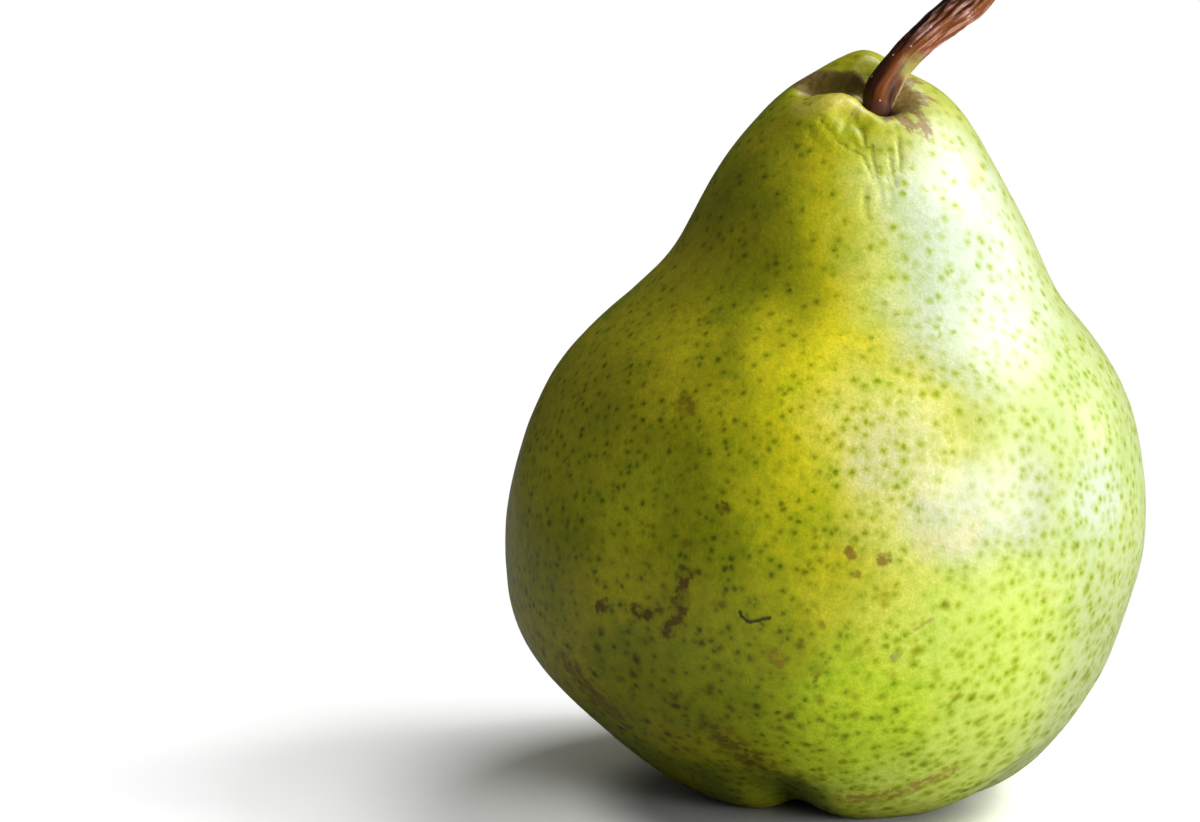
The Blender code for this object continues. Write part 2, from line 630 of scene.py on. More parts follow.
@dataclass(frozen=True)
class Freckles:
    """A layer of the skin's small spots, each a core in a soft halo.

    The layer turns from the lower values to the upper ones between the two heights in turn. Bare is
    the share of the spots that are left out, and fainter is how much the rest fade.
    """

    spacing: float
    core: float
    halo: float
    core_tint: Colour
    halo_tint: Colour
    # Painted light: the cores' paler tint on the lit +X side.
    lit_core_tint: Colour
    bare_below: float
    bare_above: float
    turn: Pair = (46.0, 72.0)
    fainter: float = 0.12


@dataclass(frozen=True)
class Mottle:
    """Cloudy patches; each tint goes with the noise's value at which it is full."""

    scale: float
    detail: float
    roughness: float
    tints: tuple[tuple[Colour, float], ...]


@dataclass(frozen=True)
class SkinFinish:
    """Waxy pear skin: green and yellow, freckled, with brown russet at the stem and the base, and some
    painted shade, painted light and painted highlights.
    """

    green: Colour = (0.44, 0.46, 0.004)
    yellow: Colour = (0.62, 0.56, 0.008)
    # Pale bloom of the +X side, partly painted sheen where the lamps fall.
    pale: Colour = (0.47, 0.55, 0.23)
    russet: Colour = (0.15, 0.068, 0.018)
    russet_grey: Colour = (0.33, 0.205, 0.085)
    # Painted shade: darkening in the creases in front of the stem.
    crease_painted_shade: Colour = (0.60, 0.62, 0.14)
    crease_width: float = 0.42
    grain_height: float = 0.055
    stem_foot: Place = (5.9, -3.8, 85.0)
    # Painted shade: darker russet round the stem's foot.
    shaded: Mark = Mark(((2.6, -1.6, 88.0),), 1.5, 6.0, (0.055, 0.024, 0.006), 0.6)
    groove: tuple[Place, ...] = ((-3.4, 4.2, 87.4), (-1.2, 0.0, 88.9), (2.6, -1.6, 88.6))
    groove_reach: Pair = (1.2, 2.9)
    basin: Place = (1.5, 0.0, 6.0)
    basin_reach: Pair = (4.0, 10.0)
    tinges_and_painted_light: tuple[Mark, ...] = (
        Mark(((-20.0, -20.0, 59.0), (-18.0, -26.0, 53.0)), 2.0, 12.0, (0.72, 0.64, 0.008), 0.8),
        Mark(((-6.0, -29.0, 57.0), (-2.0, -34.0, 50.0)), 2.0, 14.0, (0.84, 0.75, 0.010), 0.85),
        Mark(((5.0, -33.0, 52.0), (7.0, -36.5, 44.0)), 2.0, 12.0, (0.78, 0.76, 0.20), 0.8),
        Mark(((8.0, -25.0, 66.0), (7.0, -16.0, 76.0)), 2.0, 10.0, (0.64, 0.70, 0.14), 0.85),
        Mark(((-7.0, -8.0, 82.0), (-4.0, -12.0, 80.0)), 1.0, 7.0, (0.56, 0.50, 0.006), 0.7),
        Mark(((14.0, -34.0, 22.0), (12.0, -30.0, 10.0)), 6.0, 22.0, (0.64, 0.77, 0.13), 0.9),
        Mark(((1.0, -35.0, 17.0),), 4.0, 15.0, (0.56, 0.70, 0.015), 0.85),
        # Painted shade: a dark olive band on the front left, where the neck meets the belly.
        Mark(((-13.0, -26.0, 58.0), (-8.0, -19.0, 69.0), (-6.0, -24.0, 64.0)), 1.0, 7.5,
             (0.25, 0.26, 0.001), 0.72),
        # Painted shade: the dark band higher up the neck's left.
        Mark(((-13.0, -8.0, 77.0), (-9.0, -14.0, 75.0)), 1.0, 7.0, (0.25, 0.27, 0.001), 0.6),
        # Painted shade: the dark band down the lower left front, away from the lamps.
        Mark(((-17.0, -31.0, 45.0), (-16.0, -34.0, 35.0), (-13.0, -36.5, 29.0), (-14.0, -35.0, 20.0),
              (-22.0, -30.0, 22.0)), 2.0, 13.0, (0.24, 0.27, 0.001), 0.66),
        Mark(((9.0, -27.0, 60.0), (7.5, -25.5, 62.0)), 0.5, 5.0, (0.50, 0.50, 0.02), 0.6),
        # Painted sheen: whitish patches where the lamps are mirrored on the belly.
        Mark(((21.0, -32.0, 43.0), (14.0, -35.5, 42.0)), 2.0, 9.0, (0.40, 0.43, 0.33), 0.75),
        Mark(((31.0, -23.0, 41.0),), 2.0, 8.0, (0.54, 0.60, 0.50), 0.8),
        # Painted sheen down the lit right of the neck, in two patches.
        Mark(((15.0, -13.0, 75.0), (18.0, -18.0, 65.0)), 3.0, 14.0, (0.58, 0.64, 0.54), 0.9),
        Mark(((13.2, -19.0, 69.0), (14.5, -24.8, 60.3)), 3.0, 11.0, (0.49, 0.57, 0.43), 0.75),
        Mark(((6.2, -35.3, 48.7),), 2.0, 9.0, (0.66, 0.67, 0.38), 0.6),
        Mark(((16.8, -8.1, 79.1), (16.1, -11.0, 77.0)), 0.2, 2.0, (0.75, 0.52, 0.22), 0.5),
        Mark(((-8.4, -23.4, 62.7), (-7.4, -26.6, 60.0)), 1.0, 6.0, (0.70, 0.64, 0.008), 0.7),
        Mark(((-9.2, -34.6, 47.9), (-9.6, -36.2, 42.4)), 1.0, 6.5, (0.66, 0.62, 0.010), 0.6),
        Mark(((-34.3, -14.5, 44.7), (-25.2, -27.9, 43.1)), 2.0, 10.0, (0.72, 0.72, 0.015), 0.7),
        # Painted shade on the lower left front.
        Mark(((-21.1, -32.1, 24.9), (-16.4, -32.9, 20.4)), 2.0, 8.0, (0.27, 0.30, 0.003), 0.6),
        Mark(((-4.0, -5.5, 86.6), (1.0, -6.5, 87.0), (3.0, -7.0, 86.4)), 0.5, 3.2, (0.76, 0.62, 0.10), 0.6),
        # Painted sheen: a greyish white patch in the belly's highlight.
        Mark(((13.4, -35.7, 40.9),), 1.5, 6.5, (0.38, 0.42, 0.24), 0.6),
        # Painted shade in the notch between the lobes at the front.
        Mark(((-7.8, -20.8, 4.7), (-10.3, -22.1, 6.0), (-12.9, -22.7, 7.0)), 2.0, 8.5,
             (0.22, 0.26, 0.008), 0.7),
        # Painted light on the lit lobe beside the notch.
        Mark(((-2.8, -25.7, 7.6),), 0.5, 3.5, (0.64, 0.74, 0.06), 0.6),
        # Painted highlight: a white spot on the front rim beside the stem's foot.
        Mark(((3.6, -7.6, 86.0), (4.8, -9.2, 84.9)), 0.1, 1.3, (0.82, 0.84, 0.76), 0.8),
    )
    mottles: tuple[Mottle, ...] = (
        Mottle(0.17, 3.0, 0.6, (((0.74, 0.86, 0.50), 0.66),)),
        Mottle(0.6, 3.0, 0.65, (((0.80, 0.90, 0.62), 0.70), ((1.20, 1.14, 1.25), 0.30))),
        Mottle(2.9, 2.0, 0.7, (((0.76, 0.82, 0.70), 0.68), ((1.22, 1.18, 1.45), 0.32))),
    )
    mottled: Pair = (0.6, 0.25)
    mottled_turn: Pair = (4.0, 16.0)
    bloom_and_painted_sheen_side: Pair = (4.0, 26.0)
    # Where the freckle cores turn to their paler tint: painted light on the +X side.
    freckles_lit_side: Pair = (-9.0, 11.0)
    freckles: tuple[Freckles, ...] = (
        Freckles(1.34, 0.48, 1.05, (0.40, 0.40, 0.008), (0.64, 0.72, 0.05), (0.60, 0.71, 0.01), 0.0, 0.42),
        Freckles(2.3, 0.82, 1.25, (0.44, 0.33, 0.01), (0.70, 0.68, 0.12), (0.70, 0.68, 0.03), 0.02, 1.0,
                 (12.0, 44.0)),
    )
    rubs: tuple[Mark, ...] = (
        Mark(((-18.4, -34.3, 34.4), (-18.9, -34.0, 31.6), (-19.1, -33.9, 29.8), (-20.4, -33.1, 27.6)),
             0.3, 2.1, (0.11, 0.055, 0.004), 0.9),
        Mark(((-22.5, -31.9, 28.9), (-24.2, -30.7, 29.4)), 0.3, 1.5, (0.10, 0.05, 0.004), 0.9),
        Mark(((-28.1, -27.4, 29.0), (-27.4, -27.8, 29.6)), 0.2, 1.5, (0.11, 0.06, 0.004), 0.85),
        Mark(((-18.3, -27.4, 53.6), (-17.6, -28.2, 52.6)), 0.2, 2.4, (0.20, 0.12, 0.003), 0.7),
        Mark(((-14.1, -34.7, 42.5), (-13.9, -34.8, 42.3)), 0.4, 1.2, (0.12, 0.07, 0.004), 0.8),
        Mark(((0.3, -38.4, 38.0), (0.6, -38.4, 37.5)), 0.2, 1.1, (0.22, 0.12, 0.006), 0.85),
        Mark(((3.8, -38.2, 37.1), (4.7, -38.2, 37.3)), 0.2, 1.2, (0.24, 0.13, 0.006), 0.85),
        Mark(((1.1, -38.4, 35.4), (1.4, -38.4, 35.4)), 0.2, 0.9, (0.24, 0.14, 0.006), 0.75),
        Mark(((-8.0, -37.5, 25.6), (-7.6, -37.3, 24.8)), 0.2, 1.8, (0.24, 0.15, 0.008), 0.7),
        Mark(((5.7, -37.3, 25.3), (5.8, -37.3, 25.4)), 0.4, 1.1, (0.30, 0.26, 0.10), 0.7),
        Mark(((2.4, -25.0, 4.6), (7.8, -25.2, 5.8), (13.4, -25.8, 8.6)), 0.3, 2.6, (0.34, 0.22, 0.03), 0.8),
        Mark(((-14.0, -29.5, 15.0), (-9.0, -27.5, 10.5)), 0.5, 4.2, (0.13, 0.08, 0.005), 0.75),
        Mark(((9.0, -36.5, 38.5), (14.0, -35.2, 39.5)), 0.5, 3.6, (0.56, 0.46, 0.20), 0.5),
        Mark(((22.0, -31.0, 31.5), (24.0, -30.0, 31.0)), 0.2, 1.4, (0.62, 0.42, 0.16), 0.6),
        Mark(((-31.0, -20.0, 20.0), (-27.0, -22.0, 14.0)), 0.5, 4.0, (0.18, 0.08, 0.006), 0.6),
    )
    scars: tuple[Mark, ...] = (
        Mark(((-12.0, -36.9, 30.7), (-11.8, -36.9, 30.1), (-11.0, -37.1, 29.6), (-10.1, -37.3, 29.7),
              (-8.6, -37.7, 30.2)), 0.04, 0.38, (0.024, 0.024, 0.002), 0.95),
        Mark(((-1.7, -37.8, 25.6), (-2.6, -37.5, 24.2), (-3.4, -36.9, 22.4)), 0.03, 0.42,
             (0.16, 0.09, 0.006), 0.9, 0.7),
        Mark(((-3.4, -36.9, 22.4), (-3.6, -35.5, 18.7), (-1.9, -33.7, 15.6)), 0.02, 0.30,
             (0.20, 0.16, 0.006), 0.7, 0.5),
        Mark(((6.9, -37.7, 28.0), (8.6, -37.5, 28.9), (10.1, -37.2, 29.9)), 0.03, 0.42,
             (0.34, 0.22, 0.05), 0.75, 0.8),
        Mark(((11.2, -33.7, 18.4), (12.7, -33.3, 18.8), (13.8, -33.5, 20.2)), 0.02, 0.30,
             (0.26, 0.24, 0.02), 0.7, 0.6),
        Mark(((16.1, -20.1, 4.5), (21.0, -19.0, 7.3), (26.7, -15.0, 9.6)), 0.05, 0.75,
             (0.15, 0.11, 0.010), 0.95, 0.5),
        Mark(((18.6, -20.4, 6.9), (24.0, -18.0, 9.2)), 0.05, 0.5, (0.17, 0.13, 0.012), 0.9, 0.5),
    )

    def make(self) -> bpy.types.Material:
        """Builds the skin's material.

        Returns:
            The material.
        """
        graph = Graph("pear_skin")
        place = graph.place()
        uneven = graph.shaken(place, 1.4, 0.6)
        crumbs = graph.noise(place, 1.5, 2.0, 0.7)
        creases = self._creases(graph, uneven)
        russet = self._russet(graph, place, uneven, crumbs)
        colour = self._ground(graph, place)
        colour = self._freckled(graph, place, uneven, colour)
        colour = self._marked(graph, uneven, graph.noise(place, 0.9, 4.0, 0.6), colour)
        # Painted shade in the creases.
        colour = graph.lay(colour, self.crease_painted_shade, creases * 0.4, Laying.TINT)
        brown = graph.lay(self.russet, self.russet_grey, graph.fade(crumbs, 0.30, 0.75))
        # Painted shade: the russet darkens round the stem's foot.
        brown = graph.lay(brown, self.shaded.colour, self.shaded.mask(graph, place) * self.shaded.share)
        colour = graph.lay(colour, brown, russet * 0.85)
        grain = graph.noise(place, 1.5, 2.0, 0.65)
        normal = graph.bump(grain - 0.9 * creases, self.grain_height)
        roughness = 0.31 + 0.16 * grain + 0.30 * russet
        return graph.finish(
            Base_Color=colour,
            Roughness=roughness,
            Normal=normal,
            Specular_Tint=(1.0, 1.0, 0.60),
            Coat_Weight=0.35,
            Coat_Roughness=0.29,
            IOR=1.45,
        )

    def _ground(self, graph: Graph, place: Signal) -> Signal:
        """The skin's colour before its spots and marks; some of its tinges are painted shade, painted light
        and painted sheen.

        Args:
            graph: The material's graph.
            place: The place on the piece.

        Returns:
            The colour.
        """
        drift = graph.shaken(place, 0.11, 9.0)
        colour = graph.lay(self.green, self.yellow, graph.fade(graph.noise(place, 0.05), 0.40, 0.62))
        side = graph.split(drift)
        # Paler towards +X: waxy bloom, and painted sheen on the side that faces the lamps.
        colour = graph.lay(colour, self.pale, graph.fade(side, *self.bloom_and_painted_sheen_side))
        for tinge in self.tinges_and_painted_light:
            colour = graph.lay(colour, tinge.colour, tinge.mask(graph, drift) * tinge.share)
        most, least = self.mottled
        strength = most - (most - least) * graph.fade(side, *self.mottled_turn)
        for mottle in self.mottles:
            cloud = graph.noise(place, mottle.scale, mottle.detail, mottle.roughness)
            for tint, full in mottle.tints:
                mask = graph.fade(cloud, 0.5, full) * strength
                colour = graph.lay(colour, tint, mask, Laying.TINT)
        return colour

    def _freckled(self, graph: Graph, place: Signal, uneven: Signal, colour: Signal) -> Signal:
        """Adds the small spots, which thin out on the neck.

        Args:
            graph: The material's graph.
            place: The place on the piece.
            uneven: The place, shaken a little.
            colour: The colour so far.

        Returns:
            The freckled colour.
        """
        height = graph.split(place).other("Z")
        lit_side_share = graph.fade(height.other("X"), *self.freckles_lit_side)
        for layer in self.freckles:
            up = graph.fade(height, *layer.turn)
            cell, chance = graph.cells(uneven, layer.spacing)
            away = cell * layer.spacing
            limit = layer.bare_below + (layer.bare_above - layer.bare_below) * up
            there = graph.fade(chance - limit, -0.04, 0.10) * (0.5 + 0.5 * chance.other("Green"))
            there = there * (1.0 - layer.fainter * up)
            halo = graph.fade(away, layer.halo, 0.1) * there
            core = graph.fade(away, layer.core, 0.12 * layer.core) * there
            colour = graph.lay(colour, layer.halo_tint, halo, Laying.TINT)
            # Painted light: freckle cores paler towards the lit +X side.
            tint = graph.lay(layer.core_tint, layer.lit_core_tint, lit_side_share)
            colour = graph.lay(colour, tint, core, Laying.TINT)
        return colour

    def _russet(self, graph: Graph, place: Signal, uneven: Signal, crumbs: Signal) -> Signal:
        """Where the brown russet is: in streaks from the stem, in the crown's groove and in the basin.

        Args:
            graph: The material's graph.
            place: The place on the piece.
            uneven: The place, shaken a little.
            crumbs: Fine noise, from 0 to 1.

        Returns:
            The mask.
        """
        offset = graph.vector("SUBTRACT", place, self.stem_foot)
        parts = graph.split(offset)
        angle = graph.node("ShaderNodeMath", {"operation": "ARCTAN2"}, {0: parts.other("Y"), 1: parts})
        away = graph.vector("LENGTH", offset)
        spread = graph.node("ShaderNodeCombineXYZ", None, {0: 3.0 * angle, 1: 0.22 * away})
        streaks = graph.noise(spread, 1.0, 3.0, 0.6)
        sunny = graph.fade(parts, -2.5, 3.0)
        foot = graph.fade(away + 12.0 * (0.5 - streaks) + 2.0 * (0.5 - crumbs) - 3.2 * sunny, 5.0, 0.8)
        groove = graph.stroke(uneven, self.groove, *self.groove_reach)
        basin = graph.spot(uneven, self.basin, *self.basin_reach)
        ragged = 0.6 * (crumbs - 0.5) + 0.9 * (streaks - 0.5)
        return graph.fade(foot.most(groove).most(basin) + ragged, 0.15, 0.80)

    def _marked(self, graph: Graph, uneven: Signal, crumbs: Signal, colour: Signal) -> Signal:
        """Adds the rubs, which are crumbly brown patches, and the scars.

        Args:
            graph: The material's graph.
            uneven: The place, shaken a little.
            crumbs: Fine noise, from 0 to 1.
            colour: The colour so far.

        Returns:
            The marked colour.
        """
        islands = graph.fade(crumbs, 0.42, 0.60)
        for rub in self.rubs:
            mask = graph.fade(rub.mask(graph, uneven) * (0.45 + 0.55 * islands), 0.15, 0.85)
            colour = graph.lay(colour, rub.colour, mask * rub.share)
        for scar in self.scars:
            mask = scar.mask(graph, uneven)
            if scar.broken:
                mask = mask * ((1.0 - scar.broken) + scar.broken * islands)
            colour = graph.lay(colour, scar.colour, mask * scar.share)
        return colour

    def _creases(self, graph: Graph, uneven: Signal) -> Signal:
        """Where the creases in front of the stem are.

        Args:
            graph: The material's graph.
            uneven: The place, shaken a little.

        Returns:
            The mask.
        """
        found: Signal | None = None
        for line in CREASES:
            mask = graph.stroke(uneven, line, 0.0, self.crease_width)
            found = mask if found is None else found.most(mask)
        return found


@dataclass(frozen=True)
class BarkFinish:
    """The stem's glossy reddish-brown bark, wrinkled lengthwise, with painted shade and painted highlights;
    the picked end is bare wood.
    """

    red: Colour = (0.23, 0.060, 0.005)
    dark: Colour = (0.022, 0.008, 0.006)
    # Violet bark colour and painted gloss on the ridges of the upper stem.
    violet_and_painted_gloss: Colour = (0.54, 0.27, 0.21)
    wood: Colour = (0.34, 0.21, 0.10)
    foot: Colour = (0.06, 0.022, 0.022)
    specks: Colour = (0.75, 0.62, 0.50)
    speck_gap: float = 1 / 0.7
    fibre_stretch: Place = (1.0, 1.0, 0.16)
    upper: Pair = (9.0, 14.0)
    patch: Mark = Mark(((1.9, -0.9, 9.6),), 0.8, 3.0, (0.38, 0.36, 0.08), 0.8)
    # Painted highlight: a pale streak down the stem's right edge near the foot.
    edge: Mark = Mark(((2.0, -0.7, 8.6), (2.2, -0.5, 3.4)), 0.2, 1.3, (0.55, 0.42, 0.22), 0.7)
    length: float = 27.0

    def make(self) -> bpy.types.Material:
        """Builds the bark's material, which follows the stem by its attribute "straight".

        Returns:
            The material.
        """
        graph = Graph("stem_bark")
        along = graph.node("ShaderNodeAttribute", {"attribute_name": "straight"}, output="Vector")
        drawn = graph.vector("MULTIPLY", along, self.fibre_stretch)
        side = graph.split(along)
        height = side.other("Z")
        fibres = graph.noise(drawn, 1.7, 3.0, 0.6)
        broad = graph.noise(drawn, 0.55, 2.0)
        upper = graph.fade(height, *self.upper)
        # Painted shade: the stem's left side, away from the lamps, is darkened.
        shade = graph.fade(side + 2.4 * (broad - 0.5), -0.4, -1.9)
        colour = graph.lay(self.red, self.dark, graph.fade(broad, 0.48, 0.66))
        colour = graph.lay(colour, self.dark, shade * 0.8)
        # Violet streaks on the upper stem's ridges: bark colour and painted highlight.
        colour = graph.lay(colour, self.violet_and_painted_gloss, graph.fade(fibres, 0.47, 0.62) * (0.05 + 0.85 * upper))
        # Painted shade in the grooves between the ridges.
        colour = graph.lay(colour, self.dark, graph.fade(fibres, 0.42, 0.31) * (0.15 + 0.7 * upper))
        patch = self.patch.mask(graph, graph.shaken(along, 0.6, 2.2))
        colour = graph.lay(colour, self.patch.colour, patch * self.patch.share)
        # Painted highlight along the stem's right edge near the foot.
        edge = self.edge.mask(graph, graph.shaken(along, 0.9, 1.2))
        colour = graph.lay(colour, self.edge.colour, edge * self.edge.share)
        foot = graph.fade(height + 2.0 * (broad - 0.5), 4.4, 3.0)
        colour = graph.lay(colour, self.foot, foot * 0.75)
        spots, chance = graph.cells(along, self.speck_gap)
        specks = graph.fade(spots, 0.13, 0.06) * graph.fade(chance, 0.45, 0.5)
        colour = graph.lay(colour, self.specks, specks * 0.8)
        end = graph.fade(height, self.length - 0.35, self.length + 0.05)
        colour = graph.lay(colour, self.wood, end)
        normal = graph.bump(fibres * (0.35 + 0.65 * upper), 0.12)
        roughness = 0.42 - 0.12 * upper + 0.25 * graph.noise(along, 0.9, 3.0) + 0.35 * end
        return graph.finish(
            Base_Color=colour,
            Roughness=roughness,
            Normal=normal,
            Coat_Weight=0.03 + 0.75 * upper,
            Specular_IOR_Level=0.2,
            Coat_Roughness=0.16,
        )


@dataclass(frozen=True)
class SepalFinish:
    """Dried, papery brown sepals."""

    pale: Colour = (0.20, 0.12, 0.055)
    dark: Colour = (0.035, 0.020, 0.010)
    vein_tint: Colour = (0.5, 0.5, 0.5)
    vein_stretch: Place = (3.0, 3.0, 0.6)

    def make(self) -> bpy.types.Material:
        """Builds the sepals' material.

        Returns:
            The material.
        """
        graph = Graph("dried_sepal")
        place = graph.place()
        blotches = graph.noise(place, 0.9, 4.0, 0.65)
        veins = graph.noise(graph.vector("MULTIPLY", place, self.vein_stretch), 1.2, 3.0)
        colour = graph.lay(self.dark, self.pale, graph.fade(blotches, 0.35, 0.65))
        colour = graph.lay(colour, self.vein_tint, graph.fade(veins, 0.55, 0.40) * 0.6, Laying.TINT)
        normal = graph.bump(veins + blotches, 0.12)
        return graph.finish(Base_Color=colour, Roughness=0.7 + 0.2 * blotches, Normal=normal)


# --------------------------------------------------------------------------- the pear


@dataclass
class Fruit:
    """The fruit, raised ring by ring from the basin of its calyx to its crown."""

    outline: tuple[Pair, ...] = (
        (2.0, 8.1), (3.6, 7.9), (6.4, 6.2), (8.8, 3.3), (11.4, 0.6), (15.4, -0.6), (20.2, 0.8),
        (25.4, 4.5), (31.4, 10.6), (36.8, 18.4), (39.5, 27.4), (39.9, 35.4), (38.5, 43.4),
        (36.0, 50.6), (31.6, 57.2), (26.6, 62.4), (22.8, 67.4), (20.0, 72.8), (16.8, 78.4),
        (13.5, 83.2), (9.9, 86.9), (5.2, 89.0), (2.0, 89.5),
    )
    lean: tuple[Pair, ...] = (
        (-2.0, 0.7), (8.0, -0.5), (20.0, -2.6), (32.0, -1.8), (46.0, -1.0), (60.0, 0.0),
        (68.0, 1.7), (78.0, 1.9), (90.0, 3.2),
    )
    core: float = 1.75
    sides: int = 72
    ring_gap: float = 2.6
    depth: float = 0.97
    crown_tilt: float = 11.3
    crown_from: float = 72.0
    crown_to: float = 86.0
    crease_push: Place = (0.0, 0.14, -0.05)
    crease_reach: float = 0.62
    furrows: tuple[tuple[float, float, float], ...] = (
        (-108.5, 1.9, 7.5), (-36.0, 0.9, 6.5), (33.0, 1.7, 7.5), (104.0, 1.4, 8.0), (176.0, 1.6, 7.5),
    )

    def rings(self) -> list[Ring]:
        """The rings of the body, from the basin to the crown.

        Returns:
            The rings, from the first to the last.
        """
        curve = evenly(smooth_curve(self.outline, CURVE_STEPS), self.ring_gap)
        lean = smooth_curve(self.lean, CURVE_STEPS)
        rings = []
        for out, height in curve:
            middle = (self.core + float(np.interp(height, lean[:, 0], lean[:, 1])), 0.0, height)
            tilt = self.crown_tilt * float(fade(height, self.crown_from, self.crown_to))
            rings.append(Ring(middle, out, tilt))
        return rings

    def furrow_presses(self) -> list[Press]:
        """The pushes that part the base into lobes.

        Returns:
            The pushes, two for each furrow.
        """
        presses = []
        for angle, depth, reach in self.furrows:
            way = Vector((math.cos(math.radians(angle)), math.sin(math.radians(angle)), 0.0))
            line = tuple(
                tuple(way * out + Vector((self.core, 0.0, height)))
                for out, height in self.outline[4:8]
            )
            for share, width in ((0.62, 1.0), (0.50, 0.55)):
                push = -0.5 * depth * share * way + Vector((0.0, 0.0, depth * share))
                presses.append(Press(line, tuple(push), reach * width))
        return presses

    def crown_presses(self) -> list[Press]:
        """The pushes that make the crown's swellings and hollows.

        Returns:
            The pushes.
        """
        return [
            Press(((4.1, 4.8, 90.4),), (0.2, 0.2, 2.5), 7.0),
            Press(((6.0, -4.2, 87.6),), (0.2, 0.4, -2.8), 6.2),
            Press(((-3.0, -1.6, 88.0), (1.6, -2.0, 88.8)), (0.0, 0.0, -0.9), 3.4),
            Press(((-3.4, 4.0, 87.6), (-0.4, 3.4, 89.0)), (0.0, 0.0, 0.5), 4.4),
            Press(((-3.0, -5.6, 86.4), (0.6, -6.2, 86.8)), (0.0, -0.5, 0.1), 4.6),
        ]

    def fold_presses(self) -> list[Press]:
        """The pushes that fold the skin round the stem, on the finer mesh.

        Returns:
            The pushes.
        """
        return [
            Press(((-2.8, 0.4, 88.0), (0.0, -1.3, 88.2), (2.4, -2.4, 87.4), (4.4, -3.2, 86.0)),
                  (0.2, 0.7, -1.2), 2.2),
            Press(((-1.8, -3.6, 87.8), (1.0, -4.8, 87.6), (2.9, -6.2, 86.6), (4.4, -7.8, 85.2)),
                  (0.1, 0.1, 0.40), 1.7),
            Press(((5.6, -4.5, 85.2),), (0.0, 0.2, -1.9), 3.0),
            Press(((1.2, -8.4, 85.4), (3.0, -9.6, 84.0)), (0.0, 0.4, -0.5), 2.0),
        ]

    def crinkle_presses(self) -> list[Press]:
        """The pushes that sink the creases."""
        return [Press(line, self.crease_push, self.crease_reach) for line in CREASES]

    def build(self, finish: bpy.types.Material) -> bpy.types.Object:
        """Models the fruit and dresses it.

        Args:
            finish: The skin's material.

        Returns:
            The finished piece.
        """
        rings = self.rings()
        body = raise_rings("pear_fruit", self.sides, rings, self.depth)
        count = len(body.data.vertices)
        close_ring(body, np.arange(count) < self.sides, self.sides // 4)
        close_ring(body, (np.arange(len(body.data.vertices)) >= count - self.sides)
                   & (np.arange(len(body.data.vertices)) < count), self.sides // 4)
        press_all(body, self.furrow_presses())
        press_all(body, self.crown_presses())
        refine(body)
        press_all(body, self.fold_presses())
        refine(body)
        roughen(body, 15.0, 0.5)
        roughen(body, 4.0, 0.08)
        press_all(body, self.crinkle_presses())
        self.flatten_rest(body)
        dress(body, finish, "fruit")
        return body

    def flatten_rest(self, body: bpy.types.Object) -> None:
        """Presses the lobes flat where the pear rests on them.

        Args:
            body: The fruit.
        """
        select_points(body, points_of(body)[:, 2] < 0.0)
        with editing(body):
            bpy.ops.transform.resize(value=(1.0, 1.0, 0.0), center_override=(0.0, 0.0, 0.0))


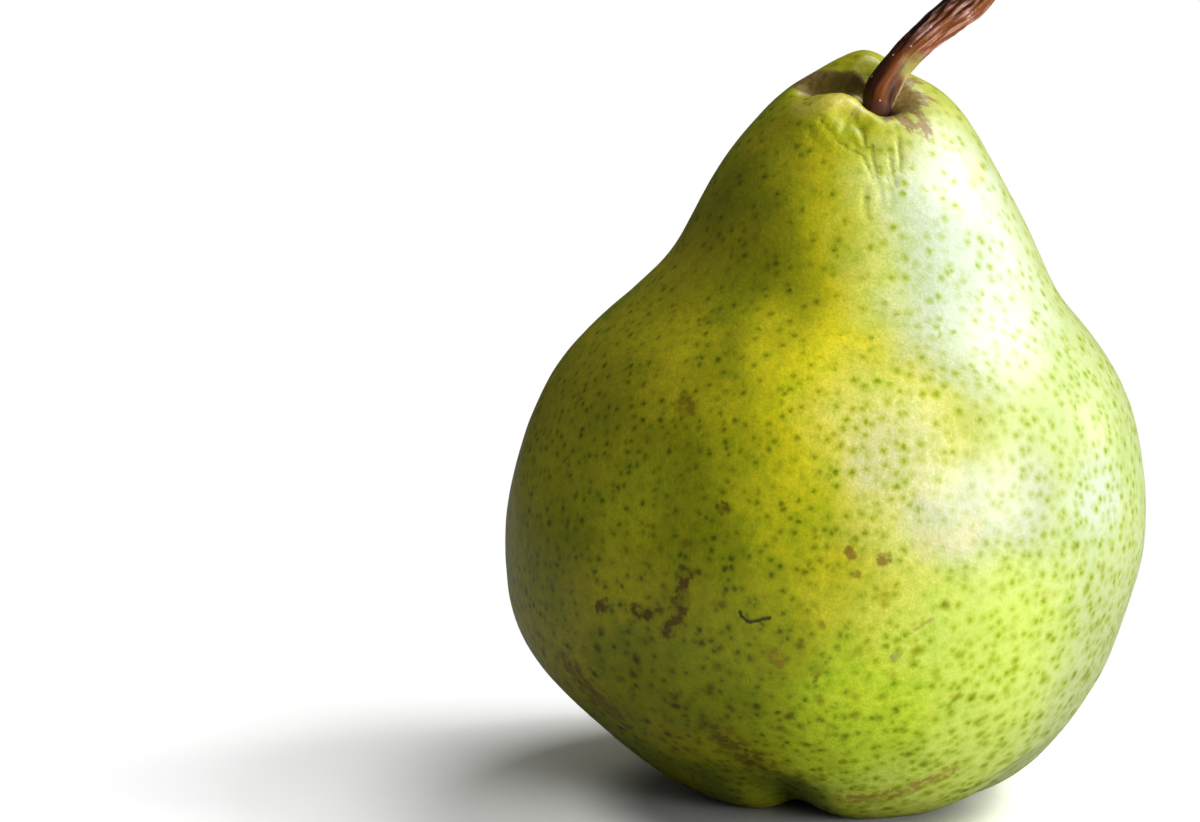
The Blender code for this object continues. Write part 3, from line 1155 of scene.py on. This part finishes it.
@dataclass
class Stem:
    """The woody stem, modelled straight and then bent along its path."""

    foot: Place = (5.75, -3.8, 85.0)
    path: tuple[tuple[float, float, float, float], ...] = (
        (-0.4, 0.9, -2.2, 2.2), (-0.2, 0.0, 0.0, 3.4), (0.1, 0.1, 1.9, 4.2), (0.8, 0.2, 3.6, 4.2),
        (1.9, 0.4, 5.3, 3.8), (3.5, 0.8, 7.2, 3.5), (5.5, 1.1, 9.1, 3.5), (7.3, 1.4, 10.6, 3.8),
        (9.3, 1.7, 12.1, 4.2), (11.1, 2.0, 13.5, 4.3), (12.5, 2.2, 15.2, 4.5), (13.4, 2.3, 17.2, 4.9),
        (13.9, 2.4, 19.0, 5.5),
    )
    sides: int = 32
    ring_gap: float = 0.8

    def straight_rings(self) -> tuple[list[Ring], np.ndarray]:
        """The rings of the straight stem, and the curve that it is bent along.

        Returns:
            The rings, and the curve's points.
        """
        curve = smooth_curve(self.path, CURVE_STEPS)
        steps = np.linalg.norm(np.diff(curve[:, :3], axis=0), axis=1)
        along = np.concatenate([[0.0], np.cumsum(steps)])
        heights = np.linspace(0.0, along[-1], round(along[-1] / self.ring_gap) + 1)
        widths = np.interp(heights, along, curve[:, 3])
        rings = [Ring((0.0, 0.0, float(h)), float(w) / 2) for h, w in zip(heights, widths)]
        return rings, curve[:, :3] + np.array(self.foot)

    def build(self, finish: bpy.types.Material) -> bpy.types.Object:
        """Models the stem and dresses it.

        Args:
            finish: The bark's material.

        Returns:
            The finished piece.
        """
        rings, curve = self.straight_rings()
        stem = raise_rings("pear_stem", self.sides, rings)
        self.close_ends(stem)
        refine(stem, 2)
        self.wrinkle(stem, rings[-1].middle[2])
        self.remember_straight(stem)
        self.bend(stem, curve)
        dress(stem, finish, "stem")
        return stem

    def close_ends(self, stem: bpy.types.Object) -> None:
        """Rounds the foot and gives the picked end a rim and a hollow.

        Args:
            stem: The straight stem.
        """
        heights = points_of(stem)[:, 2]
        top, foot = heights > heights.max() - 0.01, heights < 0.01
        for chosen, drops in ((foot, ((0.72, -0.55), (0.5, -0.35))),
                              (top, ((0.93, 0.22), (0.72, -0.25), (0.5, -0.15)))):
            select_points(stem, chosen)
            with editing(stem):
                level = float(heights[chosen].mean())
                for share, rise in drops:
                    level += rise
                    bpy.ops.mesh.extrude_region_move(TRANSFORM_OT_translate={"value": (0.0, 0.0, rise * MM)})
                    middle = (0.0, 0.0, level * MM)
                    bpy.ops.transform.resize(value=(share, share, 1.0), center_override=middle)
                bpy.ops.mesh.fill_grid(span=self.sides // 4)

    def wrinkle(self, stem: bpy.types.Object, length: float) -> None:
        """Carves the lengthwise wrinkles, deeper towards the picked end.

        Args:
            stem: The straight stem.
            length: The stem's length.
        """
        points = points_of(stem)
        moved = points.copy()
        for index, (x, y, z) in enumerate(points):
            out = math.hypot(x, y)
            if out < 0.4:
                continue
            round_about = Vector((x / out, y / out, 0.0))
            upper = float(fade(z, 8.0, 14.0))
            coarse = noise.noise(Vector((round_about.x * 1.5, round_about.y * 1.5, z * 0.09 + 3.0)))
            ridges = noise.noise(Vector((round_about.x * 3.4, round_about.y * 3.4, z * 0.14 + 9.0)))
            fine = noise.noise(Vector((round_about.x * 7.0, round_about.y * 7.0, z * 0.3)))
            lift = 0.20 * coarse + (0.03 + 0.34 * upper) * (0.5 - abs(ridges) * 2.0) * 0.8
            lift += (0.03 + 0.08 * upper) * fine
            knot = 0.12 * noise.noise(Vector((x, y, z)) * 0.45)
            edge = float(fade(z, length - 1.2, length - 0.2))
            tear = edge * 0.5 * noise.noise(Vector((x * 1.7, y * 1.7, 5.0)))
            scale = (out + (lift + knot) * float(fade(out, 0.4, 1.2))) / out
            moved[index] = (x * scale, y * scale, z + tear)
        move_points(stem, moved)

    def remember_straight(self, stem: bpy.types.Object) -> None:
        """Keeps each point's place on the straight stem, for the bark to follow."""
        store = stem.data.attributes.new("straight", "FLOAT_VECTOR", "POINT")
        store.data.foreach_set("vector", points_of(stem).astype(np.float32).ravel())

    def bend(self, stem: bpy.types.Object, curve: np.ndarray) -> None:
        """Bends the straight stem along its path, and clears the path away.

        Args:
            stem: The straight stem.
            curve: The path's points.
        """
        line = bpy.data.curves.new("stem_path", "CURVE")
        line.dimensions = "3D"
        spline = line.splines.new("POLY")
        spline.points.add(len(curve) - 1)
        for point, place in zip(spline.points, curve):
            point.co = (*(place * MM), 1.0)
        guide = bpy.data.objects.new("stem_path", line)
        bpy.context.scene.collection.objects.link(guide)
        work_on(stem)
        bender = stem.modifiers.new("bend", "CURVE")
        bender.object = guide
        bender.deform_axis = "POS_Z"
        bpy.ops.object.modifier_apply(modifier=bender.name)
        bpy.data.objects.remove(guide)


@dataclass
class Calyx:
    """The dried calyx: five curled sepals and a tuft of stamens in the basin of the base."""

    middle: Place = (1.55, 0.0, 7.9)
    sepals: int = 5
    sepal_length: float = 5.2
    sepal_width: float = 2.9
    stamens: int = 11
    seed: int = 7

    def build(self, finish: bpy.types.Material) -> list[bpy.types.Object]:
        """Models the calyx and dresses it.

        Args:
            finish: The sepals' material.

        Returns:
            The finished pieces.
        """
        draw = np.random.default_rng(self.seed)
        pattern = self.model_sepal()
        pieces = []
        for number in range(self.sepals):
            sepal = pattern.copy()
            sepal.data = pattern.data.copy()
            sepal.name = sepal.data.name = f"sepal_{number + 1}"
            bpy.context.scene.collection.objects.link(sepal)
            turn = 2 * math.pi * number / self.sepals + float(draw.uniform(-0.15, 0.15))
            self.place_sepal(sepal, turn, float(draw.uniform(0.85, 1.1)))
            pieces.append(sepal)
        bpy.data.objects.remove(pattern)
        pieces.append(self.model_heart(draw))
        for piece in pieces:
            dress(piece, finish, "calyx")
        return pieces

    def model_sepal(self) -> bpy.types.Object:
        """One sepal along +X from its root: a pointed leaf, cupped and curled at its tip.

        Returns:
            The sepal.
        """
        bpy.ops.object.select_all(action="DESELECT")
        bpy.ops.mesh.primitive_grid_add(x_subdivisions=10, y_subdivisions=4, size=1.0)
        sepal = new_piece("sepal")
        points = points_of(sepal) * MM
        share = points[:, 0] + 0.5
        across = points[:, 1]
        width = self.sepal_width * (1 - share) ** 0.7 * (0.7 + 0.9 * share)
        length = self.sepal_length * share
        curl = -1.5 * fade(share, 0.25, 1.0) + 2.2 * across**2
        twist = 0.35 * np.sin(9 * share) * across
        move_points(sepal, np.stack([length, across * width, curl + twist], axis=1))
        work_on(sepal)
        thick = sepal.modifiers.new("thickness", "SOLIDIFY")
        thick.thickness = 0.28 * MM
        bpy.ops.object.modifier_apply(modifier=thick.name)
        refine(sepal, 2)
        return sepal

    def place_sepal(self, sepal: bpy.types.Object, turn: float, size: float) -> None:
        """Puts a sepal in its place round the middle, by its mesh.

        Args:
            sepal: The sepal.
            turn: Its angle round the middle.
            size: Its size, as a share of the first one's.
        """
        points = points_of(sepal) * size
        cos, sin = math.cos(turn), math.sin(turn)
        out = points[:, 0] + 0.9
        x = out * cos - points[:, 1] * sin
        y = out * sin + points[:, 1] * cos
        z = points[:, 2] - 0.6
        move_points(sepal, np.stack([x, y, z], axis=1) + np.array(self.middle))

    def model_heart(self, draw: np.random.Generator) -> bpy.types.Object:
        """The small woody cup in the middle, with its withered stamens.

        Args:
            draw: The source of the random draws.

        Returns:
            The heart, in one piece.
        """
        x, y, z = self.middle
        rings = [Ring((x, y, z + 0.5), 2.0), Ring((x, y, z - 0.5), 2.1), Ring((x, y, z - 1.1), 1.8),
                 Ring((x, y, z - 1.0), 1.3), Ring((x, y, z - 0.5), 0.9)]
        parts = [raise_rings("calyx_heart", 20, rings)]
        self.close_both(parts[0], 20)
        for _ in range(self.stamens):
            turn = float(draw.uniform(0, 2 * math.pi))
            out = float(draw.uniform(0.5, 1.5))
            lean = Vector((math.cos(turn), math.sin(turn), 0.0)) * float(draw.uniform(0.2, 0.7))
            base = Vector((x + out * math.cos(turn), y + out * math.sin(turn), z - 0.7))
            line = [base + lean * step + Vector((0.0, 0.0, -0.75 * step)) for step in range(4)]
            widths = (0.16, 0.12, 0.11, 0.24)
            stamen = raise_rings("stamen", 8, [Ring(tuple(p), w) for p, w in zip(line, widths)])
            self.close_both(stamen, 8)
            parts.append(stamen)
        bpy.ops.object.select_all(action="DESELECT")
        for part in parts:
            part.select_set(True)
        bpy.context.view_layer.objects.active = parts[0]
        bpy.ops.object.join()
        refine(parts[0], 1)
        return parts[0]

    @staticmethod
    def close_both(piece: bpy.types.Object, sides: int) -> None:
        """Closes the first and the last ring of a body.

        Args:
            piece: The piece.
            sides: The points of each ring.
        """
        count = len(piece.data.vertices)
        order = np.arange(count)
        for chosen in (order < sides, order >= count - sides):
            select_points(piece, chosen)
            with editing(piece):
                bpy.ops.mesh.edge_face_add()


# --------------------------------------------------------------------------- the studio


@dataclass(frozen=True)
class Softbox:
    """A soft lamp, placed by its direction from the pear."""

    name: str
    azimuth: float
    elevation: float
    distance: float
    size: Pair
    power: float
    colour: Colour = (1.0, 1.0, 1.0)


@dataclass
class Studio:
    """The pale floor, the soft light and the camera."""

    aim: Place = (0.0, 0.0, 45.0)
    floor_radius: float = 420.0
    lens: float = 100.0
    distance: float = 424.1
    elevation: float = 10.0
    off_axis: Pair = (30.03, -46.82)
    core: float = 1.95
    ambient: float = 0.14
    mirrored: float = 0.02
    bounces: int = 4
    # Painted shade on the floor round the pear's base: its middle, reach and tint.
    contact: Place = (-4.0, -9.0, 0.0)
    contact_reach: Pair = (29.0, 17.0)
    contact_shade: Colour = (0.26, 0.26, 0.26)
    floor_bounce: Colour = (0.28, 0.28, 0.28)
    floor_seen: Colour = (1.46, 1.46, 1.46)
    white_behind: Pair = (20.0, 62.0)
    white_beyond: Pair = (150.0, 300.0)
    lamps: tuple[Softbox, ...] = (
        Softbox("low_window", 50.0, 9.0, 700.0, (500.0, 220.0), 5.6),
        Softbox("side_window", 100.0, 45.0, 700.0, (270.0, 270.0), 2.2),
        Softbox("back_window", 135.0, 64.0, 700.0, (350.0, 240.0), 1.9),
        Softbox("tall_pane", 69.0, 26.0, 700.0, (90.0, 200.0), 0.55),
        Softbox("far_pane", 109.0, 13.0, 700.0, (80.0, 180.0), 0.55),
    )

    def build(self) -> None:
        """Sets up the studio."""
        self.lay_floor()
        self.light_room()
        for lamp in self.lamps:
            self.hang(lamp)
        self.place_camera()
        bpy.context.scene.cycles.max_bounces = self.bounces
        view = bpy.context.scene.view_settings
        view.view_transform = "Standard"
        view.look = "None"

    def lay_floor(self) -> None:
        """A round pale floor: seen directly it is a little over-lit, with painted shade round the pear's
        base, and it turns white far away.
        """
        bpy.ops.object.select_all(action="DESELECT")
        bpy.ops.mesh.primitive_circle_add(vertices=96, radius=self.floor_radius * MM, fill_type="NGON")
        floor = new_piece("studio_floor")
        graph = Graph("pale_floor")
        seen = graph.node("ShaderNodeLightPath", output="Is Camera Ray")
        colour = graph.lay(self.floor_bounce, self.floor_seen, seen)
        place = graph.place()
        near = graph.vector("LENGTH", graph.vector("SUBTRACT", place, self.contact))
        # Painted shade on the floor round the pear's base.
        shaded = graph.lay(colour, self.contact_shade, graph.fade(near, *self.contact_reach), Laying.TINT)
        plain = graph.node("ShaderNodeBsdfDiffuse", None, {"Color": shaded})
        white = graph.node("ShaderNodeEmission", None, {"Color": (1.0, 1.0, 1.0), "Strength": 1.0})
        back = graph.split(place).other("Y")
        away = graph.vector("LENGTH", place)
        far = graph.fade(back, *self.white_behind).most(graph.fade(away, *self.white_beyond))
        both = graph.node("ShaderNodeMixShader", None, {0: far * seen, 1: plain, 2: white})
        output = graph.tree.nodes["Material Output"]
        graph.feed(output.inputs["Surface"], both)
        graph.tree.nodes.remove(graph.shader)
        floor.data.materials.append(graph.material)

    def light_room(self) -> None:
        """Weak light from all round, hardly any of it mirrored, and white behind the pear."""
        world = bpy.data.worlds.new("white_room")
        bpy.context.scene.world = world
        world.use_nodes = True
        nodes, links = world.node_tree.nodes, world.node_tree.links
        background = nodes["Background"]
        path = nodes.new("ShaderNodeLightPath")
        mirrored = nodes.new("ShaderNodeMapRange")
        mirrored.inputs["To Min"].default_value = self.ambient
        mirrored.inputs["To Max"].default_value = self.mirrored
        seen = nodes.new("ShaderNodeMapRange")
        seen.inputs["To Max"].default_value = 1.0
        links.new(path.outputs["Is Glossy Ray"], mirrored.inputs["Value"])
        links.new(path.outputs["Is Camera Ray"], seen.inputs["Value"])
        links.new(mirrored.outputs["Result"], seen.inputs["To Min"])
        links.new(seen.outputs["Result"], background.inputs["Strength"])
        background.inputs["Color"].default_value = (1.0, 1.0, 1.0, 1.0)

    def hang(self, lamp: Softbox) -> None:
        """Hangs one soft lamp, turned towards the pear.

        Args:
            lamp: The lamp.
        """
        data = bpy.data.lights.new(lamp.name, "AREA")
        data.shape = "RECTANGLE"
        data.size, data.size_y = lamp.size[0] * MM, lamp.size[1] * MM
        data.energy = lamp.power
        data.color = lamp.colour
        piece = bpy.data.objects.new(lamp.name, data)
        bpy.context.scene.collection.objects.link(piece)
        turn, rise = math.radians(lamp.azimuth), math.radians(lamp.elevation)
        way = Vector((math.sin(turn) * math.cos(rise), -math.cos(turn) * math.cos(rise), math.sin(rise)))
        piece.location = (Vector(self.aim) + way * lamp.distance) * MM
        piece.rotation_euler = way.to_track_quat("Z", "Y").to_euler()

    def place_camera(self) -> None:
        """Puts the camera in front, a little above, with the pear to the right of the frame."""
        data = bpy.data.cameras.new("camera")
        data.lens = self.lens
        data.sensor_width = 36.0
        data.clip_start, data.clip_end = 0.01, 20.0
        camera = bpy.data.objects.new("camera", data)
        bpy.context.scene.collection.objects.link(camera)
        rise = math.radians(self.elevation)
        back = Vector((0.0, -math.cos(rise), math.sin(rise)))
        up = Vector((0.0, math.sin(rise), math.cos(rise)))
        right = Vector((1.0, 0.0, 0.0))
        place = Vector((self.core, 0.0, 0.0)) + back * self.distance
        place -= right * self.off_axis[0] + up * self.off_axis[1]
        camera.location = place * MM
        camera.rotation_euler = back.to_track_quat("Z", "Y").to_euler()
        bpy.context.scene.camera = camera


def main() -> None:
    """Builds the pear and the studio."""
    logging.basicConfig(level=logging.INFO, format="%(name)s: %(message)s")
    Fruit().build(SkinFinish().make())
    Stem().build(BarkFinish().make())
    Calyx().build(SepalFinish().make())
    Studio().build()


if __name__ == "__main__":
    main()
